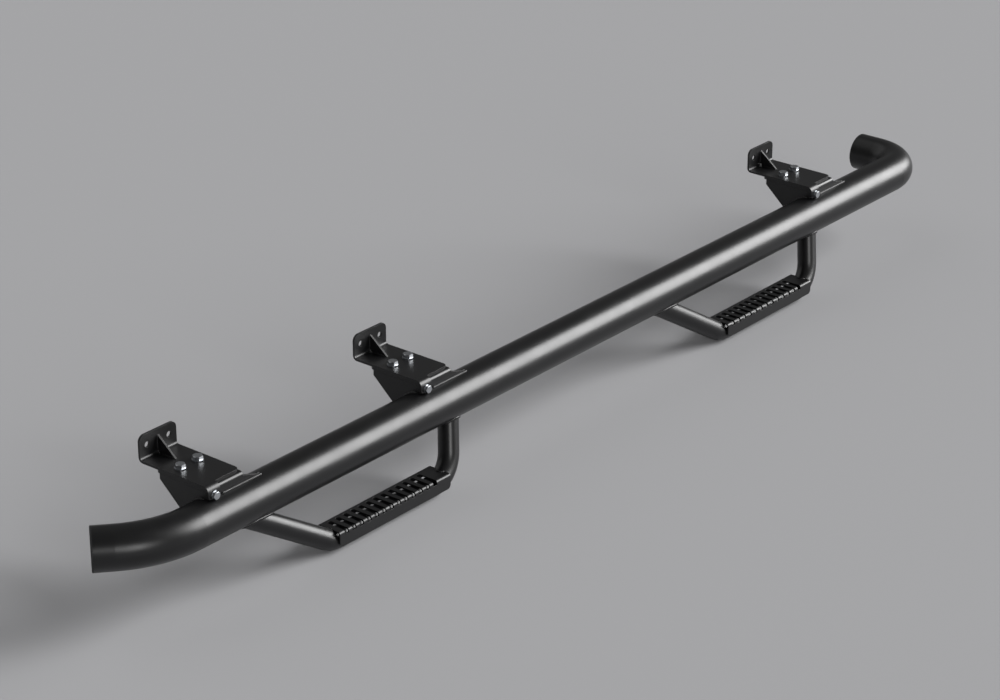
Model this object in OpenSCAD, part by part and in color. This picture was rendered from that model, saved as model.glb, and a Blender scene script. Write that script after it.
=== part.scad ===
// Side step bar for the left side of a pickup: a bent main tube with two drop hoops,
// each carrying a folded and slotted tread, on three welded arms with bolt-on brackets.
// Frame: +X rearward, +Y inboard, +Z up; origin at the middle bracket's bolt centre.
// Units are millimetres.

/* [Main tube] */
// Outside diameter of the main tube
main_od = 76.2; // [70:0.1:80]
// Wall thickness of the main tube
main_wall = 2.1; // [1.6:0.1:3.2]
// Distance of the tube's axis outboard of the body bolt plane
main_outboard = 150; // [145:1:165]
// Depth of the tube's axis below the body bolts
main_below = 85; // [84:1:95]
// Position along X where the front bend starts
straight_start = -594; // [-600:1:-590]
// Cosine of the angle by which the front end turns inboard
front_cos = 0.752192; // [0.752192:0.047808:0.8]
// Centreline radius of the front bend
front_bend_r = 190; // [115:1:190]
// Straight length left after the front bend
front_leg = 35; // [20:1:80]
// Length of the straight between the two bends
straight_len = 2065; // [2060:1:2075]
// Cosine of the angle by which the rear end turns inboard
rear_cos = 0; // [0:0.28:0.28]
// Centreline radius of the rear bend
rear_bend_r = 76; // [76:1:100]
// Straight length left after the rear bend
rear_leg = 45; // [20:1:80]

/* [End caps] */
// Thickness of a cap's face
cap_t = 3; // [2:0.5:5]
// Length of a cap's spigot inside the tube
cap_spigot = 9; // [6:0.5:15]
// Wall of a cap's spigot
cap_wall = 2.7; // [2:0.1:4]
// Chamfer around a cap's face
cap_chamfer = 1.5; // [0.5:0.1:2]
// Radial clearance between spigot and tube bore
cap_clear = 0.3; // [0.1:0.1:0.5]

/* [Hoops] */
// Outside diameter of the hoop tube
hoop_od = 38.1; // [34:0.1:42]
// Wall thickness of the hoop tube
hoop_wall = 2.1; // [1.6:0.1:3]
// Start of the front hoop's lower straight, behind the front bend
front_hoop_behind = 304; // [300:1:308]
// Start of the rear hoop's lower straight, ahead of the rear bend
rear_hoop_ahead = 638; // [630:1:646]
// Outboard tilt of the hoops from vertical
hoop_tilt = 15; // [10:1:20]
// Drop of the lower tube's axis below the main axis, in the hoop's plane
hoop_drop = 134; // [128:1:140]
// Length of a hoop's lower straight
hoop_floor = 243; // [240:1:250]
// Cosine of the fall of a hoop's front leg from level
hoop_front_cos = 0.8432; // [0.8:0.0432:0.8432]
// Cosine of the fall of a hoop's rear leg from level
hoop_rear_cos = 0.28; // [0.28:0.072:0.352]
// Centreline radius of the hoop bends
hoop_bend_r = 62; // [57:1:64]

/* [Treads] */
// Sheet thickness of a tread
tread_t = 3; // [2:0.1:4]
// Overlap of a tread ahead of its hoop's lower straight
tread_ahead = 18; // [14:1:22]
// Length of a tread along X
tread_len = 286; // [280:1:292]
// Top width of a tread outboard of the lower tube's axis, to the flange's face
tread_out = 22.4; // [22.3:0.1:24]
// Top width of a tread inboard of the lower tube's axis
tread_in = 29; // [26:0.5:34]
// Height of the outboard flange
tread_flange = 28; // [24:0.5:32]
// Height of the inboard flange
tread_return = 15; // [10:0.5:18]
// Outside radius of a tread's folds
tread_fold_r = 5; // [4:0.5:7]
// Corner radius at the lower ends of the outboard flange
tread_corner_r = 8; // [4:0.5:12]
// Number of grip slots across a tread
slot_count = 13; // [9:1:13]
// Distance between neighbouring slots
slot_pitch = 19; // [17:0.5:19]
// Width of a slot
slot_w = 10; // [8:0.5:12]
// First slot's centre from the tread's front end
slot_first = 17; // [14:1:20]
// Reach of a slot inboard of the lower tube's axis
slot_reach = 20; // [16:0.5:22]
// Depth a slot runs down over the outboard fold
slot_dip = 8; // [6:0.5:10]

/* [Arms] */
// Sheet thickness of the arms and ribs
arm_t = 5; // [4:0.5:5]
// Width along X of an arm's top
arm_w = 84; // [80:1:90]
// Height of an arm's top above the main tube's crown
arm_over = 19.9; // [18.9:0.1:21.9]
// Reach of an arm's top inboard of the main axis
arm_reach = 112; // [108:1:118]
// Outboard face of an arm, outboard of the main axis
arm_face = 5; // [3:0.5:8]
// Length of the sloped shoulder behind an arm's outboard flange
arm_shoulder = 58; // [40:1:70]
// Outside radius of an arm's fold
arm_fold_r = 7; // [6.5:0.5:8]
// Centre of a rib from the arm's centre along X
rib_offset = 39.5; // [39.5:0.5:39.5]
// Radius of an arm's inboard corners
arm_corner_r = 10; // [6:0.5:14]
// Depth of a rib at its inboard end
rib_tip = 10; // [6:0.5:14]
// Depth below the main axis where a rib runs out on the tube
rib_low = 14; // [8:1:20]

/* [Body brackets] */
// Centre of the front bracket, behind the front bend
front_bracket_behind = 73; // [69:1:79]
// Centre of the rear bracket, ahead of the rear bend
rear_bracket_ahead = 266; // [256:1:276]
// Sheet thickness of a body bracket
bracket_t = 4; // [3:0.5:5]
// Outside radius of the fold under a bracket's upright
bracket_fold_r = 9; // [7:0.5:10]
// Width of the tab that laps over an arm's outboard flange
tab_w = 27; // [24:1:30]
// Height of the tab's lower edge above the main tube's crown
tab_over = 0.5; // [0.4:0.1:1.9]
// Height of a bracket's upright above the body bolts
bracket_top = 20; // [18:0.5:26]
// Radius of the upper corners of a bracket's upright
upright_corner_r = 12; // [8:0.5:16]
// Radius of the outboard rear corner of a bracket's foot
foot_corner_r = 10; // [6:0.5:14]
// Radius of the lower corners of a bracket's tab
tab_corner_r = 5; // [3:0.5:5]
// Spacing of the body bolt holes along X
body_pitch = 50; // [44:1:54]
// Diameter of the body bolt holes
body_hole_d = 11; // [9:0.1:12]
// Thickness of the bracket's gusset
gusset_t = 4; // [3:0.5:6]
// Length of the gusset along the foot
gusset_run = 40; // [30:1:44]
// Height of the gusset on the upright
gusset_rise = 32; // [24:1:36]

/* [Arm fasteners] */
// Nominal diameter of the arm bolts
bolt_d = 10; // [10:1:10]
// Spacing of the arm bolts along X
bolt_pitch = 40; // [38:1:42]
// Position of the arm bolts inboard of the main axis
bolt_reach = 76; // [70:1:80]
// Diameter of the arm's bolt holes
arm_hole_d = 11; // [10.5:0.1:12]
// Length of the bracket's slots from end to end
foot_slot = 25; // [18:1:30]
// Width across the flats of the bolt heads and nuts
hex_af = 16; // [16:0.5:17]
// Angle of the chamfer on the heads and nuts
hex_chamfer = 30; // [20:1:35]
// Chamfer circle of the heads and nuts as a share of the width across their flats
hex_face = 0.95; // [0.9:0.01:0.97]
// Chamfer at the end of a bolt's shank
bolt_point = 1; // [0.5:0.1:1.5]
// Height of a bolt head
head_h = 6.4; // [6:0.1:7]
// Length of a bolt below its head
bolt_len = 32; // [30:1:36]
// Outside diameter of a flat washer
washer_d = 20; // [18:0.5:22]
// Thickness of a flat washer
washer_t = 2; // [1.6:0.1:2.5]
// Outside diameter of a spring washer
spring_d = 17.6; // [17:0.1:18]
// Thickness of a spring washer
spring_t = 2.2; // [2:0.1:2.5]
// Width of the split in a spring washer
spring_split = 2; // [1:0.5:3]
// Height of a nut
nut_h = 8; // [7:0.5:9]

/* [Lock bolts] */
// Nominal diameter of the lock bolt at an arm's outboard front corner
lock_d = 8; // [8:1:8]
// Position of the lock bolt ahead of the arm's centre
lock_ahead = 29; // [28:0.5:29]
// Depth of the lock bolt's axis below an arm's top
lock_under = 12.9; // [12.9:0.1:12.9]
// Diameter of the lock bolt's holes
lock_hole_d = 9; // [8.5:0.1:10]
// Width across the flats of the lock bolt's head and nut
lock_af = 13; // [13:1:13]
// Height of the lock bolt's head
lock_head_h = 5.3; // [5:0.1:6]
// Length of the lock bolt below its head
lock_len = 20; // [20:1:25]
// Outside diameter of the lock bolt's washer
lock_washer_d = 15; // [14:0.5:15]
// Thickness of the lock bolt's washer
lock_washer_t = 1.6; // [1.2:0.1:2]
// Height of the lock nut
lock_nut_h = 6.5; // [6:0.5:8]

/* [Fits] */
// Gap between faces that are welded together
weld_gap = 0.3; // [0.2:0.05:0.4]
// Gap between faces that are bolted together
seat_gap = 0.1; // [0.05:0.05:0.2]
// Radial clearance of a bolt in its nut and washers
bolt_clear = 0.1; // [0.05:0.05:0.2]
// Clearance of the tread's end notches around the hoop
notch_clear = 0.6; // [0.4:0.1:1]

/* [Hidden] */
main_y = -main_outboard;
main_z = -main_below;
main_r = main_od / 2;
main_bore_r = main_r - main_wall;
straight_end = straight_start + straight_len;
front_hoop_x = straight_start + front_hoop_behind;
rear_hoop_x = straight_end - rear_hoop_ahead;
front_bracket_x = straight_start + front_bracket_behind;
rear_bracket_x = straight_end - rear_bracket_ahead;
front_turn = acos(front_cos);
rear_turn = acos(rear_cos);
hoop_r = hoop_od / 2;
hoop_bore_r = hoop_r - hoop_wall;
hoop_front_fall = acos(hoop_front_cos);
hoop_rear_fall = acos(hoop_rear_cos);
hoop_front_leg = (hoop_drop - hoop_bend_r + hoop_bend_r * hoop_front_cos) / sin(hoop_front_fall);
hoop_rear_leg = (hoop_drop - hoop_bend_r + hoop_bend_r * hoop_rear_cos) / sin(hoop_rear_fall);
hoop_centre_z = hoop_bend_r - hoop_drop;
lower_y = main_y - hoop_drop * sin(hoop_tilt);
lower_z = main_z - hoop_drop * cos(hoop_tilt);
tread_under = hoop_r + weld_gap;
tread_top = tread_under + tread_t;
tread_w = tread_out + tread_in;
flange_low_z = tread_top - tread_flange;
cut = 1;
bend_over = 2;
arm_rise = main_r + arm_over;
tab_low = main_r + tab_over;
lock_up = arm_rise - lock_under;
arm_under = arm_rise - arm_t;
rib_end = arm_reach - arm_corner_r;
arm_back = arm_t - arm_face;
shoulder_top = arm_rise - arm_fold_r;
flange_low = main_r - arm_t;
foot_z = arm_rise + seat_gap;
foot_top = foot_z + bracket_t;
fold_y = arm_fold_r - arm_face;
tab_bend_r = arm_fold_r + seat_gap;
tab_face = fold_y - tab_bend_r - bracket_t;
upright_face = main_outboard;
upright_back = upright_face - bracket_t;
upright_top = main_below + bracket_top;
slot_straight = foot_slot - arm_hole_d;
head_z = foot_top + washer_t + 2 * seat_gap;
top_washer_z = foot_top + seat_gap;
low_washer_z = arm_under - seat_gap - washer_t;
spring_z = low_washer_z - seat_gap - spring_t;
nut_z = spring_z - seat_gap - nut_h;
bolt_r = bolt_d / 2;
washer_bore_r = bolt_r + bolt_clear;
lock_washer_y = tab_face - seat_gap;
lock_head_y = lock_washer_y - lock_washer_t - seat_gap;
$fn = 96;

// Bend that starts below its centre toward +X and turns to +Y, with its straight leg
module bend_and_leg(bend_r, r, turn, leg)
{
    wide = 3 * r;
    difference() {
        rotate([0, 0, -90])
            rotate_extrude(angle = turn + bend_over)
                translate([bend_r, 0])
                    circle(r = r);
        rotate([0, 0, turn])
            translate([0, -bend_r - wide / 2, -wide / 2])
                cube([wide, wide, wide]);
    }
    rotate([0, 0, turn])
        translate([0, -bend_r, 0])
            rotate([0, 90, 0])
                cylinder(h = leg, r = r);
}

// Solid sweep of the main tube's path with the given radius, run past both ends
module main_sweep(r, past)
{
    translate([straight_start, main_y, main_z])
        rotate([0, 90, 0])
            cylinder(h = straight_len, r = r);
    translate([straight_start, main_y + front_bend_r, main_z])
        mirror([1, 0, 0])
            bend_and_leg(front_bend_r, r, front_turn, front_leg + past);
    translate([straight_end, main_y + rear_bend_r, main_z])
        bend_and_leg(rear_bend_r, r, rear_turn, rear_leg + past);
}

// Straight envelope of the main tube, used to cope what is welded to it
module main_cope()
{
    translate([straight_start, main_y, main_z])
        rotate([0, 90, 0])
            cylinder(h = straight_len, r = main_r + weld_gap);
}

module main_tube()
{
    color([0.05, 0.05, 0.055])
        difference() {
            main_sweep(main_r, 0);
            main_sweep(main_bore_r, cut);
        }
}

// Plug cap turned about Z: the face is outward and the spigot points down
module cap_turn()
{
    spigot_r = main_bore_r - cap_clear;
    rotate_extrude()
        polygon([
            [0, seat_gap - cap_t],
            [spigot_r - cap_wall, seat_gap - cap_t],
            [spigot_r - cap_wall, -cap_spigot],
            [spigot_r, -cap_spigot],
            [spigot_r, seat_gap],
            [main_r, seat_gap],
            [main_r, seat_gap + cap_t - cap_chamfer],
            [main_r - cap_chamfer, seat_gap + cap_t],
            [0, seat_gap + cap_t]
        ]);
}

// Place a cap at the end of a leg that follows a bend
module at_leg_end(bend_r, turn, leg)
{
    rotate([0, 0, turn])
        translate([leg, -bend_r, 0])
            rotate([0, 90, 0])
                children();
}

module front_end_cap()
{
    color([0.04, 0.04, 0.045])
        translate([straight_start, main_y + front_bend_r, main_z])
            mirror([1, 0, 0])
                at_leg_end(front_bend_r, front_turn, front_leg)
                    cap_turn();
}

module rear_end_cap()
{
    color([0.04, 0.04, 0.045])
        translate([straight_end, main_y + rear_bend_r, main_z])
            at_leg_end(rear_bend_r, rear_turn, rear_leg)
                cap_turn();
}

// Solid sweep of a hoop in its own XZ plane, from the start of its lower straight
module hoop_sweep(r)
{
    translate([0, 0, -hoop_drop])
        rotate([0, 90, 0])
            cylinder(h = hoop_floor, r = r);
    translate([0, 0, hoop_centre_z])
        rotate([90, 0, 0])
            mirror([1, 0, 0])
                bend_and_leg(hoop_bend_r, r, hoop_front_fall, hoop_front_leg);
    translate([hoop_floor, 0, hoop_centre_z])
        rotate([90, 0, 0])
            bend_and_leg(hoop_bend_r, r, hoop_rear_fall, hoop_rear_leg);
}

// Place a hoop's plane on the main tube, tilted outboard
module on_hoop(x)
{
    translate([x, main_y, main_z])
        rotate([-hoop_tilt, 0, 0])
            children();
}

module hoop(x)
{
    color([0.05, 0.05, 0.055])
        difference() {
            on_hoop(x)
                hoop_sweep(hoop_r);
            on_hoop(x)
                hoop_sweep(hoop_bore_r);
            main_cope();
        }
}

// Rectangle with both upper corners rounded
module round_top(x, y, w, h, r)
{
    translate([x, y])
        square([w, h - r]);
    translate([x + r, y])
        square([w - 2 * r, h]);
    translate([x + r, y + h - r])
        circle(r = r);
    translate([x + w - r, y + h - r])
        circle(r = r);
}

// What a rounded corner at the origin loses; the sheet lies on the given sides of it
module corner_waste(side_x, side_y, r)
{
    start_x = side_x > 0 ? -cut : -r;
    start_y = side_y > 0 ? -cut : -r;
    difference() {
        translate([start_x, start_y])
            square([r + cut, r + cut]);
        translate([side_x * r, side_y * r])
            circle(r = r);
    }
}

// Rounds a corner of a sheet that faces along Y, cut from y outboard over a length
module corner_along_y(x, y, z, side_x, side_z, r, length)
{
    translate([x, y, z])
        rotate([90, 0, 0])
            linear_extrude(height = length)
                corner_waste(side_x, side_z, r);
}

// Rounds a corner of a sheet that faces along Z, cut from z up over a length
module corner_along_z(x, y, z, side_x, side_y, r, length)
{
    translate([x, y, z])
        linear_extrude(height = length)
            corner_waste(side_x, side_y, r);
}

// Folded section of a tread: x is inboard and y is up from the lower tube's axis
module tread_section()
{
    return_low_z = tread_top - tread_return;
    difference() {
        round_top(-tread_out, flange_low_z, tread_w, tread_flange, tread_fold_r);
        round_top(tread_t - tread_out, flange_low_z - cut, tread_w - 2 * tread_t,
            tread_flange + cut - tread_t, tread_fold_r - tread_t);
        translate([0, flange_low_z - cut])
            square([tread_in + cut, return_low_z - flange_low_z + cut]);
    }
}

// One grip slot, cut down through the top and over the outboard fold
module grip_slot()
{
    slot_low = tread_top - slot_dip;
    slot_round = slot_reach - slot_w / 2;
    translate([-slot_w / 2, -tread_out - cut, slot_low])
        cube([slot_w, slot_round + tread_out + cut, slot_dip + cut]);
    translate([0, slot_round, slot_low])
        cylinder(h = slot_dip + cut, r = slot_w / 2);
}

module tread(x)
{
    color([0.06, 0.06, 0.065])
        difference() {
            translate([x - tread_ahead, lower_y, lower_z])
                rotate([90, 0, 90])
                    linear_extrude(height = tread_len)
                        tread_section();
            for (i = [0 : slot_count - 1])
                translate([x - tread_ahead + slot_first + i * slot_pitch, lower_y, lower_z])
                    grip_slot();
            on_hoop(x)
                hoop_sweep(hoop_r + notch_clear);
            translate([x - tread_ahead, lower_y, lower_z])
                corner_along_y(0, 0, flange_low_z, 1, 1, tread_corner_r, tread_out + cut);
            translate([x - tread_ahead + tread_len, lower_y, lower_z])
                corner_along_y(0, 0, flange_low_z, -1, 1, tread_corner_r, tread_out + cut);
        }
}

// Quarter of a flat ring in the quadrant that starts at the given angle
module quarter_ring(r_out, r_in, start)
{
    intersection() {
        difference() {
            circle(r = r_out);
            circle(r = r_in);
        }
        rotate(start)
            square([r_out + cut, r_out + cut]);
    }
}

// Sheet section drawn inboard and up, drawn out along X from a given start
module along_x(start, length)
{
    translate([start, 0, 0])
        rotate([90, 0, 90])
            linear_extrude(height = length)
                children();
}

// Outboard flange of an arm: straight front edge and sloped rear shoulder
module arm_flange()
{
    translate([0, -arm_face, 0])
        rotate([90, 0, 0])
            mirror([0, 0, 1])
                linear_extrude(height = arm_t)
                    polygon([
                        [-arm_w / 2, flange_low],
                        [arm_w / 2 + arm_shoulder, flange_low],
                        [arm_w / 2, shoulder_top],
                        [-arm_w / 2, shoulder_top]
                    ]);
}

// Rounded fold between an arm's flange and its top, and the top itself
module arm_top()
{
    along_x(-arm_w / 2, arm_w) {
        translate([fold_y, shoulder_top])
            quarter_ring(arm_fold_r, arm_fold_r - arm_t, 90);
        translate([fold_y, arm_under])
            square([arm_reach - fold_y, arm_t]);
    }
}

// Place an arm's own frame: the main axis is y = 0, z = 0
module at_bracket(x)
{
    translate([x, main_y, main_z])
        children();
}

// Hole for the lock bolt, along Y through tab and flange
module lock_hole()
{
    translate([-lock_ahead, tab_face - cut, lock_up])
        rotate([-90, 0, 0])
            cylinder(h = bracket_t + arm_t + 2 * cut + seat_gap, r = lock_hole_d / 2);
}

module arm(x)
{
    color([0.05, 0.05, 0.055])
        difference() {
            at_bracket(x) {
                arm_flange();
                arm_top();
            }
            at_bracket(x)
                lock_hole();
            for (side = [-1, 1])
                at_bracket(x)
                    translate([side * bolt_pitch / 2, bolt_reach, arm_under - cut])
                        cylinder(h = arm_t + 2 * cut, r = arm_hole_d / 2);
            for (side = [-1, 1])
                at_bracket(x)
                    corner_along_z(side * arm_w / 2, arm_reach, arm_under - cut, -side, -1,
                        arm_corner_r, arm_t + 2 * cut);
            main_cope();
        }
}

module rib(x, side)
{
    color([0.05, 0.05, 0.055])
        difference() {
            at_bracket(x)
                translate([side * rib_offset - arm_t / 2, 0, 0])
                    rotate([90, 0, 90])
                        linear_extrude(height = arm_t)
                            polygon([
                                [arm_back + weld_gap, shoulder_top - weld_gap],
                                [fold_y, arm_under - weld_gap],
                                [rib_end, arm_under - weld_gap],
                                [rib_end, arm_under - rib_tip],
                                [main_r - weld_gap * 2, -rib_low],
                                [arm_back + weld_gap, 0]
                            ]);
            main_cope();
        }
}

// Stadium hole along Y through the bracket's foot
module foot_slot_cut()
{
    for (end = [-1, 1])
        translate([0, end * slot_straight / 2, foot_z - cut])
            cylinder(h = bracket_t + 2 * cut, r = arm_hole_d / 2);
    translate([-arm_hole_d / 2, -slot_straight / 2, foot_z - cut])
        cube([arm_hole_d, slot_straight, bracket_t + 2 * cut]);
}

// Sheet of a body bracket before its holes: foot, upright and front tab
module bracket_sheet()
{
    fold_centre_y = upright_face - bracket_fold_r;
    fold_centre_z = foot_z + bracket_fold_r;
    along_x(-arm_w / 2, arm_w) {
        translate([fold_y, foot_z])
            square([fold_centre_y - fold_y, bracket_t]);
        translate([fold_centre_y, fold_centre_z])
            quarter_ring(bracket_fold_r, bracket_fold_r - bracket_t, -90);
        translate([upright_back, fold_centre_z])
            square([bracket_t, upright_top - fold_centre_z]);
    }
    along_x(-arm_w / 2, tab_w) {
        translate([fold_y, shoulder_top])
            quarter_ring(tab_bend_r + bracket_t, tab_bend_r, 90);
        translate([tab_face, tab_low])
            square([bracket_t, shoulder_top - tab_low]);
    }
}

module body_bracket(x)
{
    color([0.05, 0.05, 0.055])
        at_bracket(x)
            difference() {
                bracket_sheet();
                lock_hole();
                for (side = [-1, 1])
                    translate([side * bolt_pitch / 2, bolt_reach, 0])
                        foot_slot_cut();
                for (side = [-1, 1])
                    translate([side * body_pitch / 2, upright_back - cut, main_below])
                        rotate([-90, 0, 0])
                            cylinder(h = bracket_t + 2 * cut, r = body_hole_d / 2);
                for (side = [-1, 1])
                    corner_along_y(side * arm_w / 2, upright_face + cut, upright_top, -side, -1,
                        upright_corner_r, bracket_t + 2 * cut);
                corner_along_z(arm_w / 2, fold_y, foot_z - cut, -1, 1, foot_corner_r,
                    bracket_t + 2 * cut);
                corner_along_y(-arm_w / 2, tab_face + bracket_t + cut, tab_low, 1, 1,
                    tab_corner_r, bracket_t + 2 * cut);
                corner_along_y(tab_w - arm_w / 2, tab_face + bracket_t + cut, tab_low, -1, 1,
                    tab_corner_r, bracket_t + 2 * cut);
            }
}

module bracket_gusset(x)
{
    fold_in = bracket_fold_r - bracket_t;
    gusset_y = upright_back - weld_gap;
    gusset_z = foot_top + weld_gap;
    color([0.05, 0.05, 0.055])
        at_bracket(x)
            translate([-gusset_t / 2, 0, 0])
                rotate([90, 0, 90])
                    linear_extrude(height = gusset_t)
                        polygon([
                            [gusset_y - gusset_run, gusset_z],
                            [gusset_y - fold_in, gusset_z],
                            [gusset_y, gusset_z + fold_in],
                            [gusset_y, gusset_z + gusset_rise]
                        ]);
}

// Radius beyond a hexagon's corners, and how far its chamfer drops on the way there
function hex_wide(flats) = flats / 2 / cos(30) + cut;
function hex_drop(flats) = (hex_wide(flats) - hex_face * flats / 2) * tan(hex_chamfer);

// Plain hexagonal bar about Z, longer than the piece that is turned from it
module hex_bar(flats, h)
{
    translate([0, 0, -cut])
        cylinder(h = h + 2 * cut, r = flats / 2 / cos(30), $fn = 6);
}

// Bolt head from the XY plane up, chamfered at its top
module hex_head(flats, h)
{
    intersection() {
        hex_bar(flats, h);
        rotate_extrude()
            polygon([
                [0, 0],
                [hex_wide(flats), 0],
                [hex_wide(flats), h - hex_drop(flats)],
                [hex_face * flats / 2, h],
                [0, h]
            ]);
    }
}

// Nut from the XY plane up, chamfered at both faces, with its bore
module hex_nut(flats, h, bore_r)
{
    difference() {
        intersection() {
            hex_bar(flats, h);
            rotate_extrude()
                polygon([
                    [0, 0],
                    [hex_face * flats / 2, 0],
                    [hex_wide(flats), hex_drop(flats)],
                    [hex_wide(flats), h - hex_drop(flats)],
                    [hex_face * flats / 2, h],
                    [0, h]
                ]);
        }
        translate([0, 0, -cut])
            cylinder(h = h + 2 * cut, r = bore_r);
    }
}

// Shank from the XY plane down, with a chamfered point
module shank(r, length)
{
    rotate_extrude()
        polygon([
            [0, -length],
            [r - bolt_point, -length],
            [r, bolt_point - length],
            [r, 0],
            [0, 0]
        ]);
}

// Two fastener pieces of one kind, one for each arm bolt of a bracket
module each_bolt(x, z)
{
    for (side = [-1, 1])
        at_bracket(x)
            translate([side * bolt_pitch / 2, bolt_reach, z])
                children();
}

module arm_bolts(x)
{
    color([0.75, 0.76, 0.78])
        each_bolt(x, head_z) {
            union() {
                hex_head(hex_af, head_h);
                shank(bolt_r, bolt_len);
            }
        }
}

module washers(x, z)
{
    color([0.72, 0.73, 0.75])
        each_bolt(x, z)
            difference() {
                cylinder(h = washer_t, r = washer_d / 2);
                translate([0, 0, -cut])
                    cylinder(h = washer_t + 2 * cut, r = washer_bore_r);
            }
}

module spring_washers(x)
{
    color([0.68, 0.69, 0.71])
        each_bolt(x, spring_z)
            difference() {
                cylinder(h = spring_t, r = spring_d / 2);
                translate([0, 0, -cut])
                    cylinder(h = spring_t + 2 * cut, r = washer_bore_r);
                translate([0, -spring_split / 2, -cut])
                    cube([spring_d, spring_split, spring_t + 2 * cut]);
            }
}

module nuts(x)
{
    color([0.75, 0.76, 0.78])
        each_bolt(x, nut_z)
            hex_nut(hex_af, nut_h, washer_bore_r);
}

// Place a lock bolt's piece, turned so that its length runs outboard
module at_lock(x, y)
{
    at_bracket(x)
        translate([-lock_ahead, y, lock_up])
            rotate([90, 0, 0])
                children();
}

module lock_bolt(x)
{
    color([0.78, 0.79, 0.81])
        at_lock(x, lock_head_y) {
            hex_head(lock_af, lock_head_h);
            shank(lock_d / 2, lock_len);
        }
}

module lock_washer(x)
{
    color([0.75, 0.76, 0.78])
        at_lock(x, lock_washer_y)
            difference() {
                cylinder(h = lock_washer_t, r = lock_washer_d / 2);
                translate([0, 0, -cut])
                    cylinder(h = lock_washer_t + 2 * cut, r = lock_d / 2 + bolt_clear);
            }
}

module lock_nut(x)
{
    color([0.78, 0.79, 0.81])
        at_lock(x, arm_back + seat_gap + lock_nut_h)
            hex_nut(lock_af, lock_nut_h, lock_d / 2 + bolt_clear);
}

main_tube();
front_end_cap();
rear_end_cap();
hoop(front_hoop_x);  // front_hoop
hoop(rear_hoop_x);  // rear_hoop
tread(front_hoop_x);  // front_tread
tread(rear_hoop_x);  // rear_tread
arm(front_bracket_x);  // front_arm
arm(0);  // middle_arm
arm(rear_bracket_x);  // rear_arm
rib(front_bracket_x, -1);  // front_arm_front_rib
rib(front_bracket_x, 1);  // front_arm_rear_rib
rib(0, -1);  // middle_arm_front_rib
rib(0, 1);  // middle_arm_rear_rib
rib(rear_bracket_x, -1);  // rear_arm_front_rib
rib(rear_bracket_x, 1);  // rear_arm_rear_rib
body_bracket(front_bracket_x);  // front_body_bracket
body_bracket(0);  // middle_body_bracket
body_bracket(rear_bracket_x);  // rear_body_bracket
bracket_gusset(front_bracket_x);  // front_bracket_gusset
bracket_gusset(0);  // middle_bracket_gusset
bracket_gusset(rear_bracket_x);  // rear_bracket_gusset
arm_bolts(front_bracket_x);  // front_arm_bolts
arm_bolts(0);  // middle_arm_bolts
arm_bolts(rear_bracket_x);  // rear_arm_bolts
washers(front_bracket_x, top_washer_z);  // front_top_washers
washers(0, top_washer_z);  // middle_top_washers
washers(rear_bracket_x, top_washer_z);  // rear_top_washers
washers(front_bracket_x, low_washer_z);  // front_low_washers
washers(0, low_washer_z);  // middle_low_washers
washers(rear_bracket_x, low_washer_z);  // rear_low_washers
spring_washers(front_bracket_x);  // front_spring_washers
spring_washers(0);  // middle_spring_washers
spring_washers(rear_bracket_x);  // rear_spring_washers
nuts(front_bracket_x);  // front_nuts
nuts(0);  // middle_nuts
nuts(rear_bracket_x);  // rear_nuts
lock_bolt(front_bracket_x);  // front_lock_bolt
lock_bolt(0);  // middle_lock_bolt
lock_bolt(rear_bracket_x);  // rear_lock_bolt
lock_washer(front_bracket_x);  // front_lock_washer
lock_washer(0);  // middle_lock_washer
lock_washer(rear_bracket_x);  // rear_lock_washer
lock_nut(front_bracket_x);  // front_lock_nut
lock_nut(0);  // middle_lock_nut
lock_nut(rear_bracket_x);  // rear_lock_nut
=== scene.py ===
"""Looks of a side step bar: finishes for its solids, weld beads, rolled threads and a studio."""
import math

import bpy
from bpy.props import FloatProperty, FloatVectorProperty, PointerProperty
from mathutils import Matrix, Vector


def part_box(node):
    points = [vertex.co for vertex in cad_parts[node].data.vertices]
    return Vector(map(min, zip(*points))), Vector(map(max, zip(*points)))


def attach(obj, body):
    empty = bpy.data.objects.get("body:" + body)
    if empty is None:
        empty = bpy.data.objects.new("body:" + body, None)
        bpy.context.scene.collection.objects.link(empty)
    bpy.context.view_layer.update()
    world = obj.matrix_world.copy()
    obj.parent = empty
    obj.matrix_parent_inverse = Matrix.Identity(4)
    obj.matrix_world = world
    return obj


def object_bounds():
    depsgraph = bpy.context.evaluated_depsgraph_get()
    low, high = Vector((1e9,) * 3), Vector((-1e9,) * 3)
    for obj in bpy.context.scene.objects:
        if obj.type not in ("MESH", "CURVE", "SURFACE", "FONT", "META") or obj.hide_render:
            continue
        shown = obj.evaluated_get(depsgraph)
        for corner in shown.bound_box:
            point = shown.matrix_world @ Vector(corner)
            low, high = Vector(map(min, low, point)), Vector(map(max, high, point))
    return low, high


bl_info = {
    "name": "Side Step Bar",
    "version": (1, 0, 0),
    "blender": (4, 5, 0),
    "location": "3D View > Sidebar > Step Bar",
    "description": "Finishes and small details of a powder-coated side step bar",
    "category": "Object",
}

MM = 0.001
# Lean of the hoops' plane from the vertical, and rise of a hoop's legs from level
TILT = math.radians(15)
FALLS = {"front": math.acos(0.8432), "rear": math.acos(0.28)}
BRACKETS = ("front", "middle", "rear")
HOOPS = ("front", "rear")
GLOSS, SATIN = "gloss_black_powder_coat", "satin_black_powder_coat"
PLASTIC, ZINC = "moulded_black_polyethylene", "bright_zinc_plated_steel"
# Roughness of a coat, then the size and depth of its swells in millimetres
COATS = {GLOSS: (0.33, 5.0, 0.04), SATIN: (0.37, 3.0, 0.05)}
# Change of a coat's roughness and share of its colour, where its clouds are thin and thick
CLOUD_ROUGH, CLOUD_TONE = (-0.03, 0.04), (0.85, 1.2)
ZINC_DULL = 0.72

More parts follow.
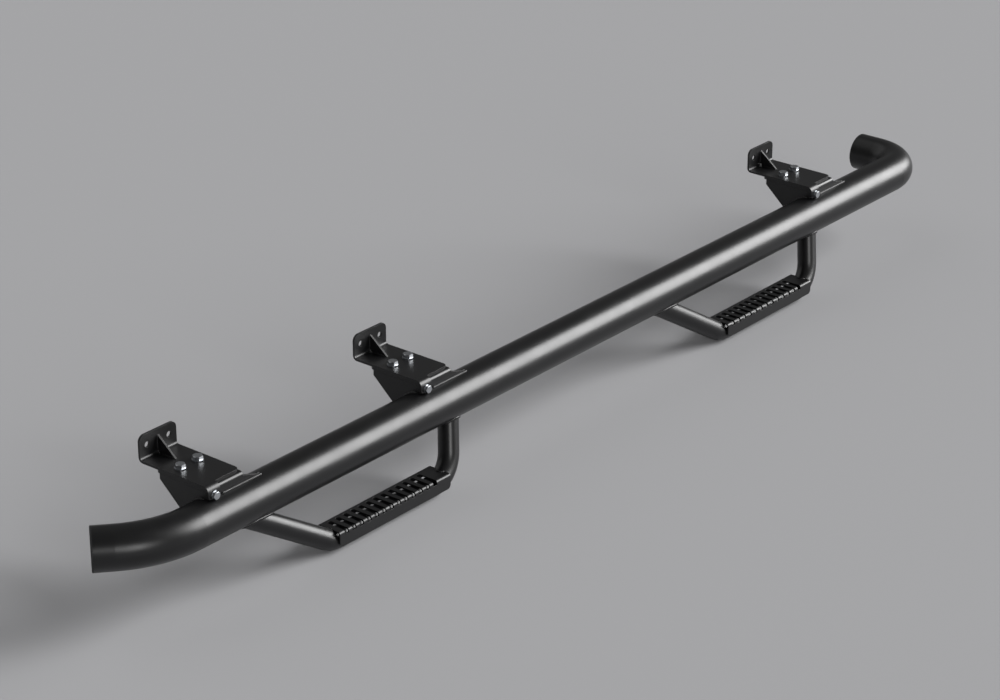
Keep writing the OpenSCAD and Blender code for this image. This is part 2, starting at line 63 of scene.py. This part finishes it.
# Fewest steps along a path, loss of a bead's radius over a ripple, and taper of its ends in steps
FEWEST_STEPS, RIPPLE_FALL, TAPER_FROM, TAPER_STEPS = 4, 0.2, 1.5, 5
STITCH_PLACES = (0.12, 0.5, 0.88)
# Rib beads around the main tube, in degrees from its top
RIB_FROM, RIB_SWEEP, RIB_STEPS = 3, 106, 48
# Turns left free at a thread's ends, half width of its ridge in pitches, and its root in the shank
THREAD_FREE, THREAD_HALF, THREAD_SUNK = 0.4, 0.42, 0.05 * MM

# Ways from the bar to the lights, as near_edge draws the rear legs' line and far_edge the front legs'
KEY_SIDE, BACK_SIDE = (0.707, -0.572, 0.415), (-0.1, 0.75, 0.65)
EDGE_SIDES = {"near_edge_light": (-0.41, -0.87, 0.28), "far_edge_light": (0.94, -0.23, 0.25)}
FLOOR_HALF, FLOOR_GAP = 30.0, 0.5 * MM

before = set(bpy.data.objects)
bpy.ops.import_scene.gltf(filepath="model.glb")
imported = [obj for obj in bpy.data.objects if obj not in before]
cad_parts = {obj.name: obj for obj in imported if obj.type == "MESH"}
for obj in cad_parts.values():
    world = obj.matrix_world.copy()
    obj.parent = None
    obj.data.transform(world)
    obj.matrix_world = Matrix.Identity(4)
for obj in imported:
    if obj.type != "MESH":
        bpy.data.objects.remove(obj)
cad_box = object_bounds()


def linear(hex_colour):
    """An sRGB hex colour as linear red, green and blue."""
    parts = [int(hex_colour[i:i + 2], 16) / 255 for i in (1, 3, 5)]
    return [p / 12.92 if p <= 0.04045 else ((p + 0.055) / 1.055) ** 2.4 for p in parts]


def length(name, text, default_mm):
    """A length property, given in millimetres and kept in metres."""
    return FloatProperty(name=name, description=text, default=default_mm * MM, unit="LENGTH")


def place(name, text, default_m):
    """A position property in metres."""
    return FloatVectorProperty(name=name, description=text, default=default_m, size=3, subtype="XYZ")


def colour(name, text, hex_colour):
    """A colour property, given as an sRGB hex value."""
    return FloatVectorProperty(name=name, description=text, default=linear(hex_colour),
                               size=3, min=0.0, max=1.0, subtype="COLOR")


class StepBarSizes(bpy.types.PropertyGroup):
    """Sizes that the added details share with the bar's solids."""
    main_r: length("Main tube radius", "Outside radius of the main tube", 38.1)
    main_y: length("Main axis Y", "Main tube's axis, outboard of the body bolt plane", -150)
    main_z: length("Main axis Z", "Main tube's axis, below the body bolts", -85)
    hoop_r: length("Hoop tube radius", "Outside radius of the hoop tube", 19.05)
    hoop_drop: length("Hoop drop", "Lower tube below the main axis, in the hoop's plane", 134)
    hoop_bend: length("Hoop bend", "Centreline radius of the hoop bends", 62)
    hoop_floor: length("Hoop floor", "Length of a hoop's lower straight", 243)
    hoop_front_x: length("Front hoop", "Start of the front hoop's lower straight", -290)
    hoop_rear_x: length("Rear hoop", "Start of the rear hoop's lower straight", 833)
    tread_top: length("Tread top", "Top of a tread above the lower tube's axis", 22.35)
    tread_low: length("Tread edge", "Outboard flange's lower edge below the lower tube's axis", 5.65)
    tread_ahead: length("Tread start", "Tread ahead of its hoop's lower straight", 18)
    tread_behind: length("Tread end", "Tread behind its hoop's lower straight", 25)
    arm_face: length("Arm face", "Outboard face of an arm, outboard of the main axis", 5)
    arm_under: length("Arm underside", "Underside of an arm's top above the main axis", 53)
    rib_end: length("Rib end", "Inboard end of the ribs from the main axis", 102)
    shoulder_end: length("Shoulder end", "Where an arm's shoulder runs out on the tube", 84)
    rib_x: length("Rib offset", "Centre of a rib from the arm's centre", 39.5)
    sheet: length("Sheet", "Thickness of the arms and ribs", 5)
    tab_end: length("Tab end", "Rear edge of the tab from the arm's centre", -15)
    foot_top: length("Foot top", "Top of a bracket's foot above the main axis", 62.1)
    upright_y: length("Upright", "Outboard face of a bracket's upright from the main axis", 146)
    gusset_run: length("Gusset run", "Length of a gusset along the foot", 40)
    gusset_rise: length("Gusset rise", "Height of a gusset on the upright", 32)
    gusset_half: length("Gusset half", "Half the thickness of a gusset", 2)
    fold_in: length("Inner fold", "Inside radius of a bracket's fold", 5)


class StepBarBeads(bpy.types.PropertyGroup):
    """Sizes of the weld beads and threads."""
    large: length("Large bead", "Width of the beads on the tubes and arms", 6.0)
    small: length("Small bead", "Width of the beads on treads and gussets", 3.6)
    ripple: length("Ripple", "Spacing of the ripples along a bead", 2.6)
    stitch: length("Stitch", "Length of a stitch weld under a tread's edge", 32)
    bolt_r: length("Arm bolt radius", "Shank radius of the arm bolts", 5)
    bolt_x: length("Arm bolt offset", "Arm bolts from the arm's centre", 20)
    bolt_y: length("Arm bolt reach", "Arm bolts inboard of the main axis", 76)
    bolt_low: length("Arm bolt end", "Lower end of an arm bolt's full shank above the main axis", 33.3)
    bolt_shown: length("Arm thread", "Length of thread below an arm bolt's nut", 7.1)
    bolt_pitch: length("Arm thread pitch", "Pitch of the arm bolts' thread", 1.5)
    lock_r: length("Lock bolt radius", "Shank radius of the lock bolts", 4)
    lock_x: length("Lock bolt offset", "Lock bolt from the arm's centre", -29)
    lock_z: length("Lock bolt height", "Lock bolt above the main axis", 45.1)
    lock_end: length("Lock bolt end", "Inboard end of a lock bolt's full shank from the main axis", 8.1)
    lock_shown: length("Lock thread", "Length of thread past a lock bolt's nut", 1.6)
    lock_pitch: length("Lock thread pitch", "Pitch of the lock bolts' thread", 0.75)
    crest: length("Crest", "Height of a thread's crest over the shank", 0.22)


class StepBarStudio(bpy.types.PropertyGroup):
    """Colours of the finishes, and the studio's camera and lights."""
    gloss_coat: colour("Gloss coat", "Black powder coat on tubes and arms", "#0B0B0C")
    satin_coat: colour("Satin coat", "Black powder coat on treads and brackets", "#0E0E0F")
    cap: colour("Cap", "Moulded black end caps", "#151516")
    zinc: colour("Zinc", "Bright zinc on the fasteners", "#C6C9CD")
    floor: colour("Floor", "Studio floor", "#A8A8AA")
    camera_at: place("Camera", "Camera's place", (-3.448, -3.140, 2.082))
    camera_to: place("Target", "Point that the camera looks at", (0.28, -0.07, -0.10))
    lens: FloatProperty(name="Lens", description="Focal length on a 36 mm wide sensor",
                        default=104.0, min=20.0, unit="CAMERA")
    key: FloatProperty(name="Key light", description="Irradiance of the soft light on the outboard side",
                       default=4.5, min=0.0)
    key_spread: FloatProperty(name="Key spread", description="Angle that the key light fills",
                              default=0.70, min=0.0, subtype="ANGLE")
    back: FloatProperty(name="Back light", description="Irradiance of the soft light on the inboard side",
                        default=0.3, min=0.0)
    back_spread: FloatProperty(name="Back spread", description="Angle that the back light fills",
                               default=1.05, min=0.0, subtype="ANGLE")
    edge: FloatProperty(name="Edge lights",
                        description="Irradiance of each light that draws a line on the hoops",
                        default=0.8, min=0.0)
    edge_spread: FloatProperty(name="Edge spread", description="Angle that each edge light fills",
                               default=0.40, min=0.0, subtype="ANGLE")
    fill: FloatProperty(name="Fill", description="Strength of the studio's even grey surroundings",
                        default=0.14, min=0.0)


def add_node(tree, kind, settings=None, links=None):
    """Adds one node, sets its properties and inputs, and links other outputs into it."""
    node = tree.nodes.new(kind)
    for key, value in (settings or {}).items():
        if hasattr(node, key):
            setattr(node, key, value)
        else:
            node.inputs[key].default_value = value
    for key, output in (links or {}).items():
        tree.links.new(output, node.inputs[key])
    return node


def new_material(name):
    """A material with an empty node tree."""
    material = bpy.data.materials.new(name)
    material.use_nodes = True
    material.node_tree.nodes.clear()
    return material, material.node_tree


def coated_steel(name, tint, rough, grain_mm, depth_mm):
    """Polyester powder coat baked on steel.

    The powder melts into low swells, so a long highlight keeps a soft, slightly wavering edge,
    and it rounds the sheet's cut edges, which catch a thin line of light.
    It is a black dielectric with an IOR of about 1.5 and faint clouds in its gloss.
    """
    material, tree = new_material(name)
    where = add_node(tree, "ShaderNodeTexCoord").outputs["Object"]
    swell = add_node(tree, "ShaderNodeTexNoise",
                     {"Scale": 1 / (grain_mm * MM), "Detail": 2.0, "Roughness": 0.45},
                     {"Vector": where})
    cloud = add_node(tree, "ShaderNodeTexNoise",
                     {"Scale": 1 / (60 * MM), "Detail": 5.0, "Roughness": 0.6},
                     {"Vector": where})
    gloss = add_node(tree, "ShaderNodeMapRange",
                     {"From Min": 0.3, "From Max": 0.7,
                      "To Min": rough + CLOUD_ROUGH[0], "To Max": rough + CLOUD_ROUGH[1]},
                     {"Value": cloud.outputs["Fac"]})
    tone = add_node(tree, "ShaderNodeMix", {"data_type": "RGBA"}, {"Factor": cloud.outputs["Fac"]})
    tone.inputs["A"].default_value = (*[c * CLOUD_TONE[0] for c in tint], 1)
    tone.inputs["B"].default_value = (*[c * CLOUD_TONE[1] for c in tint], 1)
    edge = add_node(tree, "ShaderNodeBevel", {"samples": 4, "Radius": 0.6 * MM})
    bump = add_node(tree, "ShaderNodeBump",
                    {"Strength": 0.5, "Distance": depth_mm * MM},
                    {"Height": swell.outputs["Fac"], "Normal": edge.outputs["Normal"]})
    coat = add_node(tree, "ShaderNodeBsdfPrincipled", {"IOR": 1.5},
                    {"Base Color": tone.outputs["Result"], "Roughness": gloss.outputs["Result"],
                     "Normal": bump.outputs["Normal"]})
    add_node(tree, "ShaderNodeOutputMaterial", None, {"Surface": coat.outputs["BSDF"]})
    return material


def moulded_cap(name, tint):
    """Injection-moulded polyethylene: matt black with the fine grain of a spark-eroded mould."""
    material, tree = new_material(name)
    where = add_node(tree, "ShaderNodeTexCoord").outputs["Object"]
    grain = add_node(tree, "ShaderNodeTexVoronoi", {"Scale": 1 / (1.4 * MM)}, {"Vector": where})
    flow = add_node(tree, "ShaderNodeTexNoise", {"Scale": 1 / (25 * MM)}, {"Vector": where})
    rough = add_node(tree, "ShaderNodeMapRange", {"To Min": 0.48, "To Max": 0.62},
                     {"Value": flow.outputs["Fac"]})
    bump = add_node(tree, "ShaderNodeBump", {"Strength": 0.4, "Distance": 0.08 * MM},
                    {"Height": grain.outputs["Distance"]})
    plastic = add_node(tree, "ShaderNodeBsdfPrincipled", {"Base Color": (*tint, 1), "IOR": 1.51},
                       {"Roughness": rough.outputs["Result"], "Normal": bump.outputs["Normal"]})
    add_node(tree, "ShaderNodeOutputMaterial", None, {"Surface": plastic.outputs["BSDF"]})
    return material


def zinc_plate(name, tint):
    """Bright zinc plated on cold-formed steel: pale metal, clouded by the plating's crystals."""
    material, tree = new_material(name)
    where = add_node(tree, "ShaderNodeTexCoord").outputs["Object"]
    cloud = add_node(tree, "ShaderNodeTexNoise", {"Scale": 1 / (2.5 * MM), "Detail": 4.0},
                     {"Vector": where})
    tone = add_node(tree, "ShaderNodeMix", {"data_type": "RGBA"}, {"Factor": cloud.outputs["Fac"]})
    tone.inputs["A"].default_value = (*[c * ZINC_DULL for c in tint], 1)
    tone.inputs["B"].default_value = (*tint, 1)
    rough = add_node(tree, "ShaderNodeMapRange", {"To Min": 0.22, "To Max": 0.40},
                     {"Value": cloud.outputs["Fac"]})
    metal = add_node(tree, "ShaderNodeBsdfPrincipled", {"Metallic": 1.0},
                     {"Base Color": tone.outputs["Result"], "Roughness": rough.outputs["Result"]})
    add_node(tree, "ShaderNodeOutputMaterial", None, {"Surface": metal.outputs["BSDF"]})
    return material


def finish(name):
    """One finish by name, made at its first use."""
    found = bpy.data.materials.get(name)
    if found:
        return found
    studio = bpy.context.scene.step_bar_studio
    if name == GLOSS:
        return coated_steel(name, studio.gloss_coat, *COATS[GLOSS])
    if name == SATIN:
        return coated_steel(name, studio.satin_coat, *COATS[SATIN])
    if name == PLASTIC:
        return moulded_cap(name, studio.cap)
    return zinc_plate(name, studio.zinc)


def dress(nodes, name):
    """Gives CAD nodes one finish."""
    for node in nodes:
        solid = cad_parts[node]
        solid.data.materials.clear()
        solid.data.materials.append(finish(name))


def add_piece(name, mesh_data, finish_name):
    """A smooth mesh piece in the bar's frame, riding on its only body."""
    verts, faces = mesh_data
    mesh = bpy.data.meshes.new(name)
    mesh.from_pydata([tuple(v) for v in verts], [], faces)
    mesh.validate()
    for face in mesh.polygons:
        face.use_smooth = True
    mesh.materials.append(finish(finish_name))
    piece = bpy.data.objects.new(name, mesh)
    bpy.context.collection.objects.link(piece)
    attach(piece, "root")


def spaced(path, step):
    """Points along a path at an even step, with both ends kept."""
    runs = [(b - a).length for a, b in zip(path, path[1:])]
    count = max(FEWEST_STEPS, round(sum(runs) / step))
    points, i, done = [], 0, 0.0
    for k in range(count + 1):
        want = sum(runs) * k / count
        while i < len(runs) - 1 and done + runs[i] < want:
            done += runs[i]
            i += 1
        points.append(path[i].lerp(path[i + 1], min(1.0, (want - done) / runs[i])))
    return points


def beads(paths, width, ripple, closed=False, sides=10, per_ripple=4):
    """Weld beads along paths: rods whose radius drops once behind each ripple."""
    verts, faces = [], []
    for path in paths:
        points = spaced(path, ripple / per_ripple)
        if closed:
            points.pop()
        n, first, side = len(points), len(verts), None
        for i, point in enumerate(points):
            ahead = points[(i + 1) % n] if closed else points[min(i + 1, n - 1)]
            back = points[i - 1] if closed else points[max(i - 1, 0)]
            along = (ahead - back).normalized()
            side = along.orthogonal() if side is None else side - along * side.dot(along)
            side = side.normalized()
            up = along.cross(side)
            swell = 1.0 - RIPPLE_FALL * (i % per_ripple) / per_ripple
            from_end = min(i, n - 1 - i)
            taper = 1.0 if closed else min(1.0, (from_end + TAPER_FROM) / TAPER_STEPS)
            r = width / 2 * swell * taper
            for k in range(sides):
                turn = 2 * math.pi * k / sides
                verts.append(point + side * (r * math.cos(turn)) + up * (r * math.sin(turn)))
        for i in range(n if closed else n - 1):
            here, there = first + i * sides, first + (i + 1) % n * sides
            for k in range(sides):
                m = (k + 1) % sides
                faces.append((here + k, here + m, there + m, there + k))
        if not closed:
            faces.append(tuple(first + k for k in reversed(range(sides))))
            faces.append(tuple(first + (n - 1) * sides + k for k in range(sides)))
    return verts, faces


def joined(parts):
    """Several lists of vertices and faces as one."""
    verts, faces = [], []
    for more_verts, more_faces in parts:
        first = len(verts)
        verts += more_verts
        faces += [tuple(first + k for k in face) for face in more_faces]
    return verts, faces


def thread(end, along, r, crest, pitch, shown, steps=28):
    """Rolled thread from a bolt's end: a V ridge wound on the shank, run out at both ends."""
    side = along.orthogonal().normalized()
    up = along.cross(side)
    root, flank = r - THREAD_SUNK, along * (pitch * THREAD_HALF)
    count = int(steps * (shown / pitch - 2 * THREAD_FREE))
    verts, faces = [], []
    for i in range(count + 1):
        turn = 2 * math.pi * i / steps
        out = side * math.cos(turn) + up * math.sin(turn)
        at = end + along * (pitch * (THREAD_FREE + i / steps))
        fade = min(1.0, min(i, count - i) / (steps / 3))
        verts.append(at + out * root - flank)
        verts.append(at + out * (root + (crest + THREAD_SUNK) * fade))
        verts.append(at + out * root + flank)
        if i:
            a, b = 3 * i - 3, 3 * i
            faces += [(a, b, b + 1, a + 1), (a + 1, b + 1, b + 2, a + 2)]
    return verts, faces


def bracket_origin(sizes, name):
    """Point on the main axis under a bracket's gusset."""
    low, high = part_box(name + "_bracket_gusset")
    return Vector(((low.x + high.x) / 2, sizes.main_y, sizes.main_z))


def from_hoop(sizes, hoop, x, y, z):
    """A point given in a hoop's own plane, which leans outboard, in the bar's frame."""
    start = sizes.hoop_front_x if hoop == "front" else sizes.hoop_rear_x
    return Vector((start + x, sizes.main_y + y * math.cos(TILT) + z * math.sin(TILT),
                   sizes.main_z - y * math.sin(TILT) + z * math.cos(TILT)))


def saddle(sizes, hoop, leg, steps=90):
    """Closed curve where a hoop's leg meets the main tube."""
    fall = FALLS[leg]
    run = (sizes.hoop_drop - sizes.hoop_bend * (1 - math.cos(fall))) / math.tan(fall)
    reach = run + sizes.hoop_bend * math.sin(fall)
    points = []
    for k in range(steps + 1):
        turn = 2 * math.pi * k / steps
        across, over = sizes.hoop_r * math.cos(turn), sizes.hoop_r * math.sin(turn)
        depth = math.sqrt(sizes.main_r ** 2 - across ** 2)
        slid = (depth - over * math.cos(fall)) / math.sin(fall)
        x = reach - slid * math.cos(fall) + over * math.sin(fall)
        x = -x if leg == "front" else sizes.hoop_floor + x
        points.append(from_hoop(sizes, hoop, x, across, -depth))
    return points


def notch(sizes, hoop, end, steps=60):
    """Curve on a tread's top around the hoop's bend, which rises through the tread's end."""
    edge = sizes.tread_ahead if end == "front" else sizes.tread_behind
    level = sizes.tread_top - sizes.hoop_drop * math.cos(TILT)
    left, right = [], []
    for k in range(1, steps):
        turn = FALLS[end] * k / steps
        base = sizes.hoop_bend - sizes.hoop_drop - sizes.hoop_bend * math.cos(turn)
        upright, lean = math.cos(turn) * math.cos(TILT), -math.sin(TILT)
        want = (level - base * math.cos(TILT)) / sizes.hoop_r / math.hypot(upright, lean)
        if abs(want) > 1:
            continue
        for sign, branch in ((1, left), (-1, right)):
            spin = math.atan2(lean, upright) + sign * math.acos(want)
            x = (sizes.hoop_bend - sizes.hoop_r * math.cos(spin)) * math.sin(turn)
            z = base + sizes.hoop_r * math.cos(spin) * math.cos(turn)
            if x < edge:
                x = -x if end == "front" else sizes.hoop_floor + x
                branch.append(from_hoop(sizes, hoop, x, sizes.hoop_r * math.sin(spin), z))
    return left[::-1] + right


class STEPBAR_OT_coat_tubes(bpy.types.Operator):
    """Coat the main tube, hoops, arms and ribs with gloss black powder"""
    bl_idname = "stepbar.coat_tubes"
    bl_label = "Coat Tubes and Arms"

    def execute(self, context):
        nodes = ["main_tube"] + [f"{hoop}_hoop" for hoop in HOOPS]
        for bracket in BRACKETS:
            nodes += [f"{bracket}_arm", f"{bracket}_arm_front_rib", f"{bracket}_arm_rear_rib"]
        dress(nodes, GLOSS)
        return {"FINISHED"}


class STEPBAR_OT_coat_treads(bpy.types.Operator):
    """Coat the two treads with satin black powder"""
    bl_idname = "stepbar.coat_treads"
    bl_label = "Coat Treads"

    def execute(self, context):
        dress([f"{hoop}_tread" for hoop in HOOPS], SATIN)
        return {"FINISHED"}


class STEPBAR_OT_coat_brackets(bpy.types.Operator):
    """Coat the bolt-on brackets and their gussets with satin black powder"""
    bl_idname = "stepbar.coat_brackets"
    bl_label = "Coat Brackets"

    def execute(self, context):
        for bracket in BRACKETS:
            dress([f"{bracket}_body_bracket", f"{bracket}_bracket_gusset"], SATIN)
        return {"FINISHED"}


class STEPBAR_OT_mould_caps(bpy.types.Operator):
    """Give the two end caps their moulded plastic"""
    bl_idname = "stepbar.mould_caps"
    bl_label = "Mould End Caps"

    def execute(self, context):
        dress(["front_end_cap", "rear_end_cap"], PLASTIC)
        return {"FINISHED"}


class STEPBAR_OT_plate_fasteners(bpy.types.Operator):
    """Plate every bolt, washer and nut with bright zinc"""
    bl_idname = "stepbar.plate_fasteners"
    bl_label = "Plate Fasteners"

    def execute(self, context):
        kinds = ("arm_bolts", "top_washers", "low_washers", "spring_washers", "nuts",
                 "lock_bolt", "lock_washer", "lock_nut")
        dress([f"{bracket}_{kind}" for bracket in BRACKETS for kind in kinds], ZINC)
        return {"FINISHED"}


class STEPBAR_OT_weld_hoops(bpy.types.Operator):
    """Lay a closed weld bead where each hoop leg meets the main tube"""
    bl_idname = "stepbar.weld_hoops"
    bl_label = "Weld Hoops"

    def execute(self, context):
        sizes, bead = context.scene.step_bar_sizes, context.scene.step_bar_beads
        for hoop in HOOPS:
            paths = [saddle(sizes, hoop, leg) for leg in ("front", "rear")]
            add_piece(f"{hoop}_hoop_welds", beads(paths, bead.large, bead.ripple, closed=True),
                      GLOSS)
        return {"FINISHED"}


class STEPBAR_OT_weld_treads(bpy.types.Operator):
    """Weld each tread around its hoop's bends and stitch it along the outboard edge"""
    bl_idname = "stepbar.weld_treads"
    bl_label = "Weld Treads"

    def execute(self, context):
        sizes, bead = context.scene.step_bar_sizes, context.scene.step_bar_beads
        half = Vector((bead.stitch / 2, 0, 0))
        contact = math.sqrt(sizes.hoop_r ** 2 - sizes.tread_low ** 2) + bead.small / 4
        for hoop in HOOPS:
            paths = [notch(sizes, hoop, end) for end in ("front", "rear")]
            lower = from_hoop(sizes, hoop, 0, 0, -sizes.hoop_drop)
            for share in STITCH_PLACES:
                middle = lower + Vector((sizes.hoop_floor * share, -contact, -sizes.tread_low))
                paths.append([middle - half, middle + half])
            add_piece(f"{hoop}_tread_welds", beads(paths, bead.small, bead.ripple),
                      SATIN)
        return {"FINISHED"}


class STEPBAR_OT_weld_arms(bpy.types.Operator):
    """Weld each arm and its two ribs to the main tube, and the ribs to the arm"""
    bl_idname = "stepbar.weld_arms"
    bl_label = "Weld Arms"

    def execute(self, context):
        sizes, bead = context.scene.step_bar_sizes, context.scene.step_bar_beads
        crown = math.sqrt(sizes.main_r ** 2 - sizes.arm_face ** 2)
        inner, outer = sizes.rib_x - sizes.sheet / 2, sizes.rib_x + sizes.sheet / 2
        turns = [math.radians(RIB_FROM + RIB_SWEEP * k / RIB_STEPS) for k in range(RIB_STEPS + 1)]
        lines = [((sizes.tab_end + bead.large, -sizes.arm_face, crown),
                  (sizes.shoulder_end, -sizes.arm_face, crown)),
                 ((-inner, 0, sizes.main_r), (inner, 0, sizes.main_r)),
                 ((outer, 0, sizes.main_r), (sizes.shoulder_end, 0, sizes.main_r))]
        for side in (-1, 1):
            lines.append(((side * inner, sizes.sheet, sizes.arm_under),
                          (side * inner, sizes.rib_end, sizes.arm_under)))
            for face in (inner, outer):
                lines.append([(side * face, sizes.main_r * math.sin(turn), sizes.main_r * math.cos(turn))
                              for turn in turns])
        for bracket in BRACKETS:
            origin = bracket_origin(sizes, bracket)
            paths = [[origin + Vector(point) for point in line] for line in lines]
            add_piece(f"{bracket}_arm_welds", beads(paths, bead.large, bead.ripple),
                      GLOSS)
        return {"FINISHED"}


class STEPBAR_OT_weld_gussets(bpy.types.Operator):
    """Weld each gusset to its bracket's foot and upright on both sides"""
    bl_idname = "stepbar.weld_gussets"
    bl_label = "Weld Gussets"

    def execute(self, context):
        sizes, bead = context.scene.step_bar_sizes, context.scene.step_bar_beads
        lines = []
        for x in (-sizes.gusset_half, sizes.gusset_half):
            lines.append(((x, sizes.upright_y - sizes.gusset_run, sizes.foot_top),
                          (x, sizes.upright_y - sizes.fold_in, sizes.foot_top)))
            lines.append(((x, sizes.upright_y, sizes.foot_top + sizes.fold_in),
                          (x, sizes.upright_y, sizes.foot_top + sizes.gusset_rise)))
        for bracket in BRACKETS:
            origin = bracket_origin(sizes, bracket)
            paths = [[origin + Vector(point) for point in line] for line in lines]
            add_piece(f"{bracket}_gusset_welds", beads(paths, bead.small, bead.ripple),
                      SATIN)
        return {"FINISHED"}


class STEPBAR_OT_roll_threads(bpy.types.Operator):
    """Roll the threads that show past the nuts of the arm bolts and lock bolts"""
    bl_idname = "stepbar.roll_threads"
    bl_label = "Roll Threads"

    def execute(self, context):
        sizes, bolt = context.scene.step_bar_sizes, context.scene.step_bar_beads
        up, outboard = Vector((0, 0, 1)), Vector((0, -1, 0))
        for bracket in BRACKETS:
            origin = bracket_origin(sizes, bracket)
            wound = [thread(origin + Vector((x, bolt.bolt_y, bolt.bolt_low)), up,
                            bolt.bolt_r, bolt.crest, bolt.bolt_pitch, bolt.bolt_shown)
                     for x in (-bolt.bolt_x, bolt.bolt_x)]
            wound.append(thread(origin + Vector((bolt.lock_x, bolt.lock_end, bolt.lock_z)), outboard,
                                bolt.lock_r, bolt.crest, bolt.lock_pitch, bolt.lock_shown))
            add_piece(f"{bracket}_bolt_threads", joined(wound), ZINC)
        return {"FINISHED"}


def soft_light(name, from_side, spread, irradiance):
    """A far soft light, as even on the floor as on the object."""
    light = bpy.data.lights.new(name, "SUN")
    light.angle, light.energy = spread, irradiance
    lamp = bpy.data.objects.new(name, light)
    lamp.rotation_euler = (-Vector(from_side)).to_track_quat("-Z", "Y").to_euler()
    bpy.context.collection.objects.link(lamp)


class STEPBAR_OT_set_stage(bpy.types.Operator):
    """Set the pale floor, the soft lights and the camera"""
    bl_idname = "stepbar.set_stage"
    bl_label = "Set Stage"

    def execute(self, context):
        scene, studio = context.scene, context.scene.step_bar_studio
        scene.view_settings.view_transform = "Standard"
        camera = bpy.data.objects.new("camera", bpy.data.cameras.new("camera"))
        camera.data.lens = studio.lens
        camera.location = studio.camera_at
        aim = Vector(studio.camera_to) - Vector(studio.camera_at)
        camera.rotation_euler = aim.to_track_quat("-Z", "Y").to_euler()
        context.collection.objects.link(camera)
        scene.camera = camera

        half, low = FLOOR_HALF, cad_box[0][2] - FLOOR_GAP
        mesh = bpy.data.meshes.new("floor")
        corners = [(-half, -half, low), (half, -half, low), (half, half, low), (-half, half, low)]
        mesh.from_pydata(corners, [], [(0, 1, 2, 3)])
        material, tree = new_material("painted_studio_floor")
        where = add_node(tree, "ShaderNodeTexCoord").outputs["Object"]
        cloud = add_node(tree, "ShaderNodeTexNoise", {"Scale": 0.8, "Detail": 3.0}, {"Vector": where})
        rough = add_node(tree, "ShaderNodeMapRange", {"To Min": 0.85, "To Max": 1.0},
                         {"Value": cloud.outputs["Fac"]})
        paint = add_node(tree, "ShaderNodeBsdfPrincipled",
                         {"Base Color": (*studio.floor, 1), "Specular IOR Level": 0.2},
                         {"Roughness": rough.outputs["Result"]})
        add_node(tree, "ShaderNodeOutputMaterial", None, {"Surface": paint.outputs["BSDF"]})
        mesh.materials.append(material)
        floor = bpy.data.objects.new("floor", mesh)
        context.collection.objects.link(floor)

        soft_light("key_light", KEY_SIDE, studio.key_spread, studio.key)
        for name, side in EDGE_SIDES.items():
            soft_light(name, side, studio.edge_spread, studio.edge)
        soft_light("back_light", BACK_SIDE, studio.back_spread, studio.back)
        world = bpy.data.worlds.new("studio_surroundings")
        world.use_nodes = True
        world.node_tree.nodes.clear()
        glow = add_node(world.node_tree, "ShaderNodeBackground",
                        {"Color": (1, 1, 1, 1), "Strength": studio.fill})
        add_node(world.node_tree, "ShaderNodeOutputWorld", None, {"Surface": glow.outputs["Background"]})
        scene.world = world
        return {"FINISHED"}


OPERATORS = [
    STEPBAR_OT_coat_tubes, STEPBAR_OT_coat_treads, STEPBAR_OT_coat_brackets,
    STEPBAR_OT_mould_caps, STEPBAR_OT_plate_fasteners, STEPBAR_OT_weld_hoops,
    STEPBAR_OT_weld_treads, STEPBAR_OT_weld_arms, STEPBAR_OT_weld_gussets,
    STEPBAR_OT_roll_threads, STEPBAR_OT_set_stage,
]
GROUPS = {
    "step_bar_sizes": StepBarSizes, "step_bar_beads": StepBarBeads,
    "step_bar_studio": StepBarStudio,
}


class STEPBAR_PT_sidebar(bpy.types.Panel):
    """Sidebar panel with one button for each operator"""
    bl_idname = "STEPBAR_PT_sidebar"
    bl_label = "Step Bar"
    bl_space_type = "VIEW_3D"
    bl_region_type = "UI"
    bl_category = "Step Bar"

    def draw(self, context):
        for operator in OPERATORS:
            self.layout.operator(operator.bl_idname)


def register():
    for name, group in GROUPS.items():
        bpy.utils.register_class(group)
        setattr(bpy.types.Scene, name, PointerProperty(type=group))
    for operator in OPERATORS:
        bpy.utils.register_class(operator)
    bpy.utils.register_class(STEPBAR_PT_sidebar)


def unregister():
    bpy.utils.unregister_class(STEPBAR_PT_sidebar)
    for operator in reversed(OPERATORS):
        bpy.utils.unregister_class(operator)
    for name, group in GROUPS.items():
        delattr(bpy.types.Scene, name)
        bpy.utils.unregister_class(group)


def main():
    register()
    bpy.ops.stepbar.coat_tubes()
    bpy.ops.stepbar.coat_treads()
    bpy.ops.stepbar.coat_brackets()
    bpy.ops.stepbar.mould_caps()
    bpy.ops.stepbar.plate_fasteners()
    bpy.ops.stepbar.weld_hoops()
    bpy.ops.stepbar.weld_treads()
    bpy.ops.stepbar.weld_arms()
    bpy.ops.stepbar.weld_gussets()
    bpy.ops.stepbar.roll_threads()
    bpy.ops.stepbar.set_stage()


if __name__ == "__main__":
    main()
